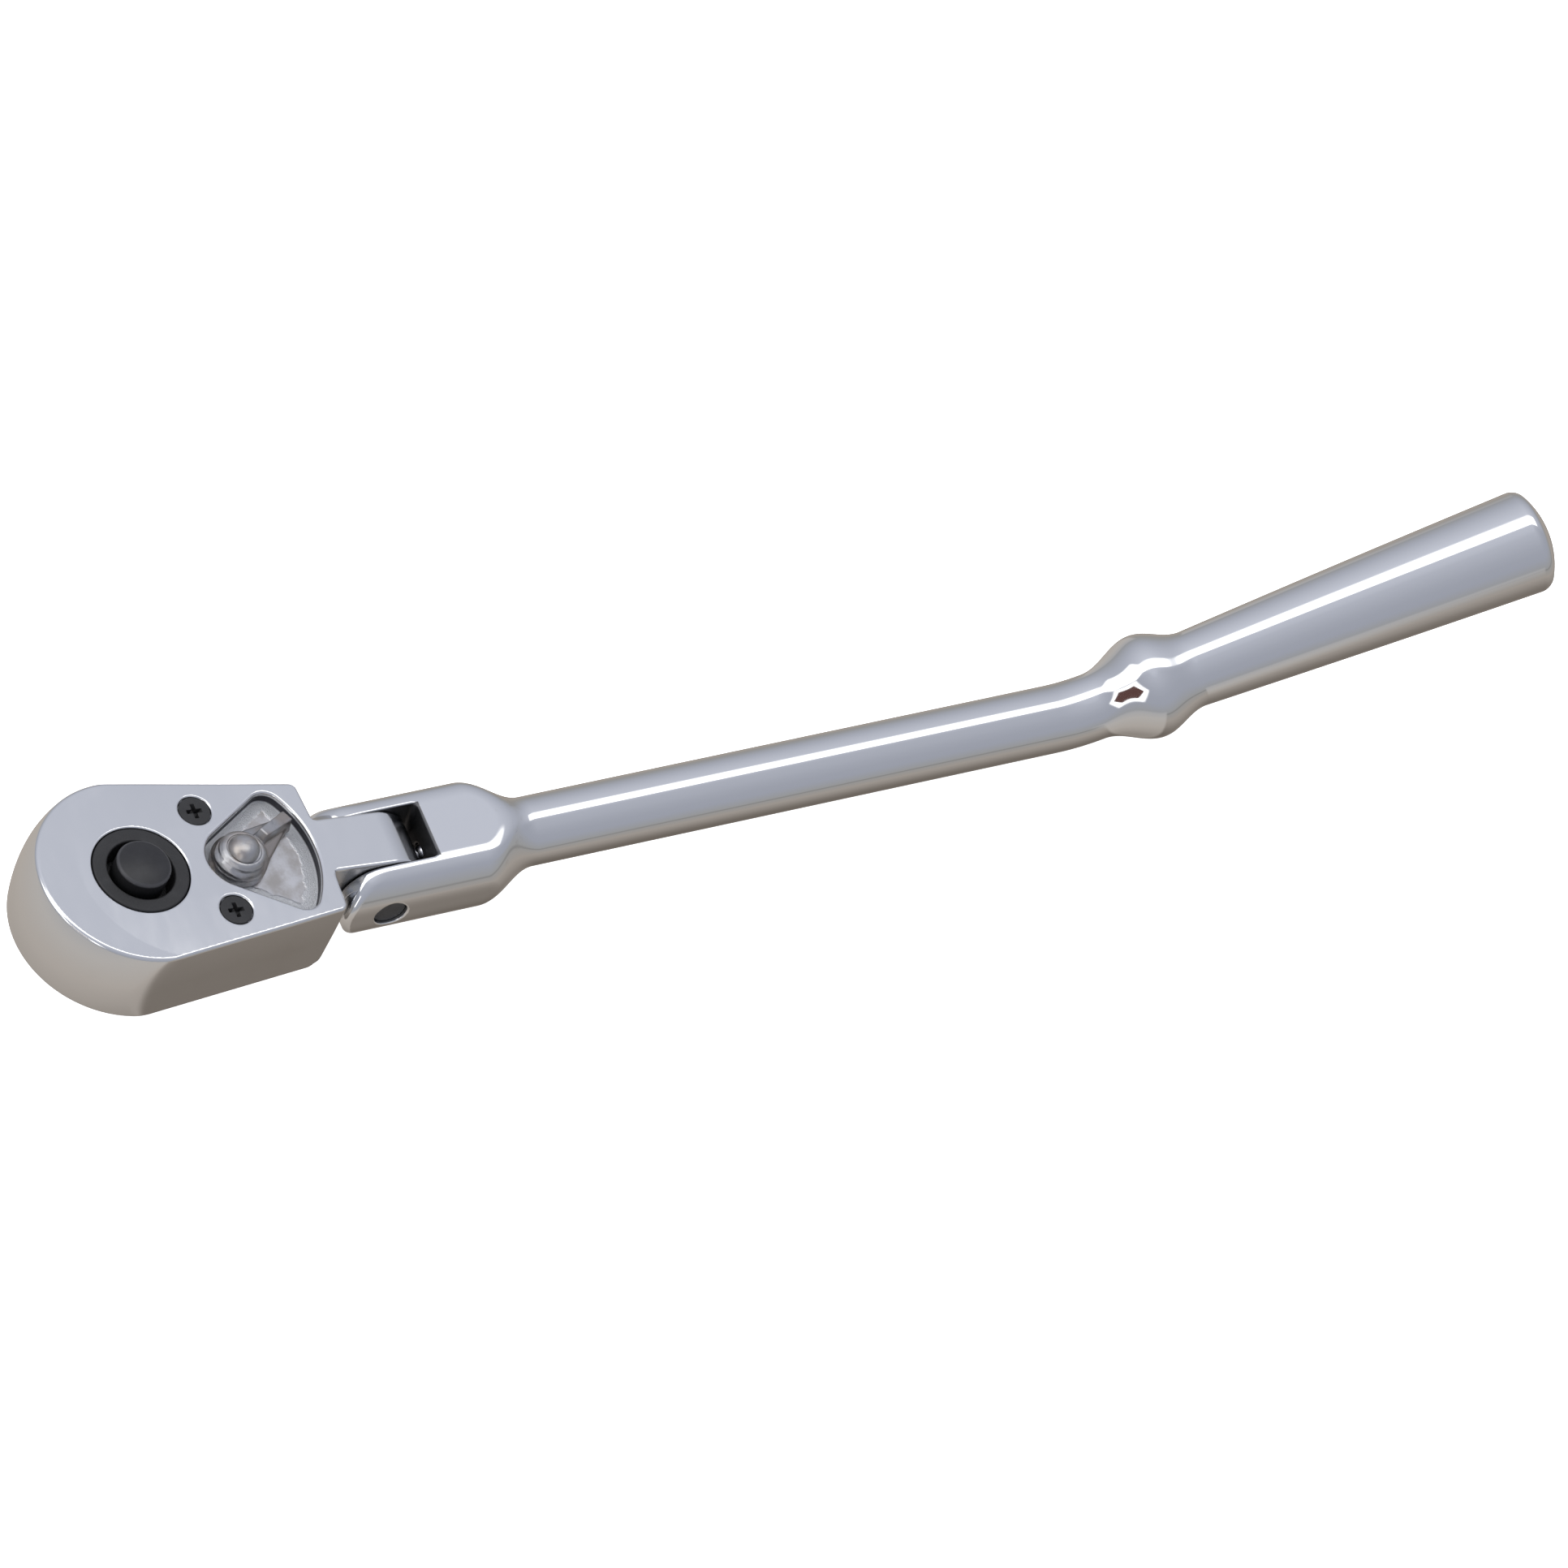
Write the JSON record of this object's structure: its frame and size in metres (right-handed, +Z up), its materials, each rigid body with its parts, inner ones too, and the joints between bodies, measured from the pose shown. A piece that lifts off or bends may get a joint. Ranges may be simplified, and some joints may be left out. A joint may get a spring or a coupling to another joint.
{
  "type": "ratchet wrench",
  "caption": "Flex-head reversible ratchet wrench with a square drive, a quick-release button, a recessed reversing lever and a bent round handle with a tapered grip.",
  "frame": {"origin": "centre of the shoulder that the drive square stands on, on the drive axis", "axes": "+X from the head to the grip, +Y across the head to the left of the handle, +Z up with the wrench lying drive side down, on the rear lower edge of the square and the handle"},
  "size_m": [0.2861, 0.0356, 0.0373],
  "materials": {
    "polished_chrome": "mirror chrome plate",
    "satin_chrome": "satin chrome plate",
    "black_oxide": "black oxide",
    "black_button": "black oxide, smooth satin",
    "cast_lever": "polished casting",
    "bearing_steel": "ground and polished",
    "tool_steel": "hardened, oiled",
    "spring_steel": "drawn wire",
    "seal_rubber": "moulded rubber"
  },
  "bodies": {
    "handle": {"handle": "polished_chrome", "flex_pin": "black_oxide", "flex_detent_ball": "bearing_steel", "flex_detent_spring": "spring_steel"},
    "head": {"head_body": "satin_chrome", "cover_plate": "satin_chrome", "cover_screws": "black_oxide", "pawl_pin": "bearing_steel"},
    "drive": {"drive_gear": "black_oxide", "gear_drag_ring": "seal_rubber", "button_spring": "spring_steel"},
    "button": {"release_button": "black_button", "release_plunger": "bearing_steel"},
    "socket_detent": {"socket_ball": "bearing_steel"},
    "lever": {"reversing_lever": "cast_lever", "lever_post": "cast_lever", "post_clip": "spring_steel", "selector_ball": "bearing_steel", "selector_spring": "spring_steel"},
    "pawl": {"pawl": "tool_steel"}
  },
  "joints": [
    {"name": "head_flex", "type": "hinge", "parent": "handle", "child": "head", "pos_m": [0.04582, 0, 0.00003], "axis": [0, 1, 0], "range_deg": [-100.7, 85.3]},
    {"name": "drive_spin", "type": "hinge", "parent": "head", "child": "drive", "pos_m": [0, 0, 0], "axis": [0.1761, 0, 0.9844], "continuous": true},
    {"name": "lever_turn", "type": "hinge", "parent": "head", "child": "lever", "pos_m": [0.02077, 0, 0.01274], "axis": [0.1761, 0, 0.9844], "range_deg": [-58, 0]},
    {"name": "pawl_rock", "type": "hinge", "parent": "head", "child": "pawl", "pos_m": [0.01444, 0, 0.00351], "axis": [0.1761, 0, 0.9844], "range_deg": [0, 4]},
    {"name": "button_press", "type": "slide", "parent": "drive", "child": "button", "axis": [-0.1761, 0, -0.9844], "range_m": [0, 0.0022], "stiffness_N_per_m": 1200, "springref_m": -0.001, "deforming": ["button_spring"]},
    {"name": "ball_retract", "type": "slide", "parent": "drive", "child": "socket_detent", "axis": [-0.9844, 0, 0.1761], "range_m": [0, 0.00095]}
  ],
  "couplings": [
    {"joint": "pawl_rock", "follows": "lever_turn", "ratio": -0.068966},
    {"joint": "ball_retract", "follows": "button_press", "ratio": 0.42727}
  ]
}
